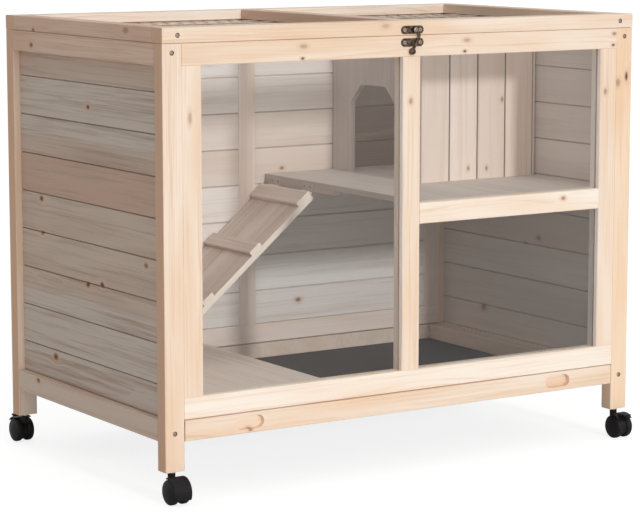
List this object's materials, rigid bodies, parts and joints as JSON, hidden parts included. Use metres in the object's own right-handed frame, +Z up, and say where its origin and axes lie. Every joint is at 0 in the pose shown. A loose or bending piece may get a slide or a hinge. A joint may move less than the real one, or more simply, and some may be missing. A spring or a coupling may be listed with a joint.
{
  "type": "rabbit_hutch",
  "caption": "Two-storey fir rabbit hutch with clear front panes, boarded walls, a hinged mesh lid, a nest room, a folding ramp, a pull-out tray and twin-wheel casters",
  "frame": {"origin": "on the ground below the middle of the whole part", "axes": "+X along the front to the right, +Y to the back, +Z up"},
  "size_m": [0.9176, 0.588, 0.732],
  "materials": {
    "fir_timber": "matte",
    "fir_boards": "matte",
    "fir_inside": "matte",
    "clear_acrylic": "clear",
    "tray_grey": "matte",
    "zinc_steel": "satin",
    "dark_bronze": "satin",
    "caster_black": "satin"
  },
  "bodies": {
    "hutch": {"post_front_left": "fir_timber", "post_front_right": "fir_timber", "post_back_left": "fir_timber", "post_back_right": "fir_timber", "front_top_rail": "fir_timber", "front_bottom_rail": "fir_timber", "front_middle_rail": "fir_timber", "front_left_stile": "fir_timber", "front_middle_stile": "fir_timber", "front_right_stile": "fir_timber", "left_side_rails": "fir_timber", "right_side_rails": "fir_timber", "back_top_rail": "fir_timber", "back_bottom_rail": "fir_timber", "back_stiles": "fir_timber", "left_side_boards": "fir_boards", "right_side_boards": "fir_boards", "back_boards": "fir_boards", "shelf": "fir_inside", "shelf_batten": "fir_inside", "shelf_ledgers": "fir_inside", "nest_partition": "fir_inside", "nest_front_boards": "fir_inside", "lower_floor": "fir_inside", "tray_runners": "fir_inside", "left_pane": "clear_acrylic", "upper_pane": "clear_acrylic", "lower_pane": "clear_acrylic", "lid_hinge_fixed_leaves": "zinc_steel", "ramp_hinge_fixed_leaves": "zinc_steel", "caster_stems": "zinc_steel", "frame_screws": "zinc_steel", "latch_keeper": "dark_bronze"},
    "lid": {"lid_front_rail": "fir_timber", "lid_back_rail": "fir_timber", "lid_left_rail": "fir_timber", "lid_right_rail": "fir_timber", "lid_crossbar": "fir_timber", "lid_panels": "zinc_steel", "lid_hinge_moving_leaves": "zinc_steel", "latch_plate": "dark_bronze", "lid_screws": "zinc_steel"},
    "hook": {"latch_hook": "dark_bronze"},
    "ramp": {"ramp_board": "fir_inside", "ramp_cleats": "fir_inside", "ramp_hinge_moving_leaves": "zinc_steel"},
    "tray": {"tray_front": "fir_timber", "tray_walls": "fir_inside", "tray_base": "tray_grey"},
    "caster_front_left": {"caster_front_left_fork": "caster_black"},
    "wheels_front_left": {"caster_front_left_wheels": "caster_black"},
    "caster_front_right": {"caster_front_right_fork": "caster_black"},
    "wheels_front_right": {"caster_front_right_wheels": "caster_black"},
    "caster_back_left": {"caster_back_left_fork": "caster_black"},
    "wheels_back_left": {"caster_back_left_wheels": "caster_black"},
    "caster_back_right": {"caster_back_right_fork": "caster_black"},
    "wheels_back_right": {"caster_back_right_wheels": "caster_black"},
    "brake_front_right": {"caster_front_right_lever": "caster_black"},
    "brake_back_left": {"caster_back_left_lever": "caster_black"}
  },
  "joints": [
    {"name": "lid_hinge", "type": "hinge", "parent": "hutch", "child": "lid", "pos_m": [0, 0.2704, 0.70825], "axis": [-1, 0, 0], "range_deg": [0, 100]},
    {"name": "hook_pivot", "type": "hinge", "parent": "lid", "child": "hook", "pos_m": [0.0037, -0.2705, 0.717], "axis": [0, -1, 0], "range_deg": [0, 110]},
    {"name": "ramp_hinge", "type": "hinge", "parent": "hutch", "child": "ramp", "pos_m": [0.0356, 0.155, 0.4185], "axis": [0, 1, 0], "range_deg": [0, 75]},
    {"name": "tray_slide", "type": "slide", "parent": "hutch", "child": "tray", "axis": [0, -1, 0], "range_m": [0, 0.42]},
    {"name": "swivel_front_left", "type": "hinge", "parent": "hutch", "child": "caster_front_left", "pos_m": [-0.4405, -0.255, 0.045], "axis": [0, 0, 1], "continuous": true},
    {"name": "roll_front_left", "type": "hinge", "parent": "caster_front_left", "child": "wheels_front_left", "pos_m": [-0.4405, -0.27, 0.02], "axis": [1, 0, 0], "continuous": true},
    {"name": "swivel_front_right", "type": "hinge", "parent": "hutch", "child": "caster_front_right", "pos_m": [0.4405, -0.255, 0.045], "axis": [0, 0, 1], "continuous": true},
    {"name": "roll_front_right", "type": "hinge", "parent": "caster_front_right", "child": "wheels_front_right", "pos_m": [0.4405, -0.27, 0.02], "axis": [1, 0, 0], "continuous": true},
    {"name": "swivel_back_left", "type": "hinge", "parent": "hutch", "child": "caster_back_left", "pos_m": [-0.4405, 0.255, 0.045], "axis": [0, 0, 1], "continuous": true},
    {"name": "roll_back_left", "type": "hinge", "parent": "caster_back_left", "child": "wheels_back_left", "pos_m": [-0.4405, 0.27, 0.02], "axis": [-1, 0, 0], "continuous": true},
    {"name": "swivel_back_right", "type": "hinge", "parent": "hutch", "child": "caster_back_right", "pos_m": [0.4405, 0.255, 0.045], "axis": [0, 0, 1], "continuous": true},
    {"name": "roll_back_right", "type": "hinge", "parent": "caster_back_right", "child": "wheels_back_right", "pos_m": [0.4405, 0.27, 0.02], "axis": [-1, 0, 0], "continuous": true},
    {"name": "brake_front_right", "type": "hinge", "parent": "caster_front_right", "child": "brake_front_right", "pos_m": [0.4405, -0.28346, 0.04226], "axis": [1, 0, 0], "range_deg": [0, 34]},
    {"name": "brake_back_left", "type": "hinge", "parent": "caster_back_left", "child": "brake_back_left", "pos_m": [-0.4405, 0.28346, 0.04226], "axis": [-1, 0, 0], "range_deg": [0, 34]}
  ]
}
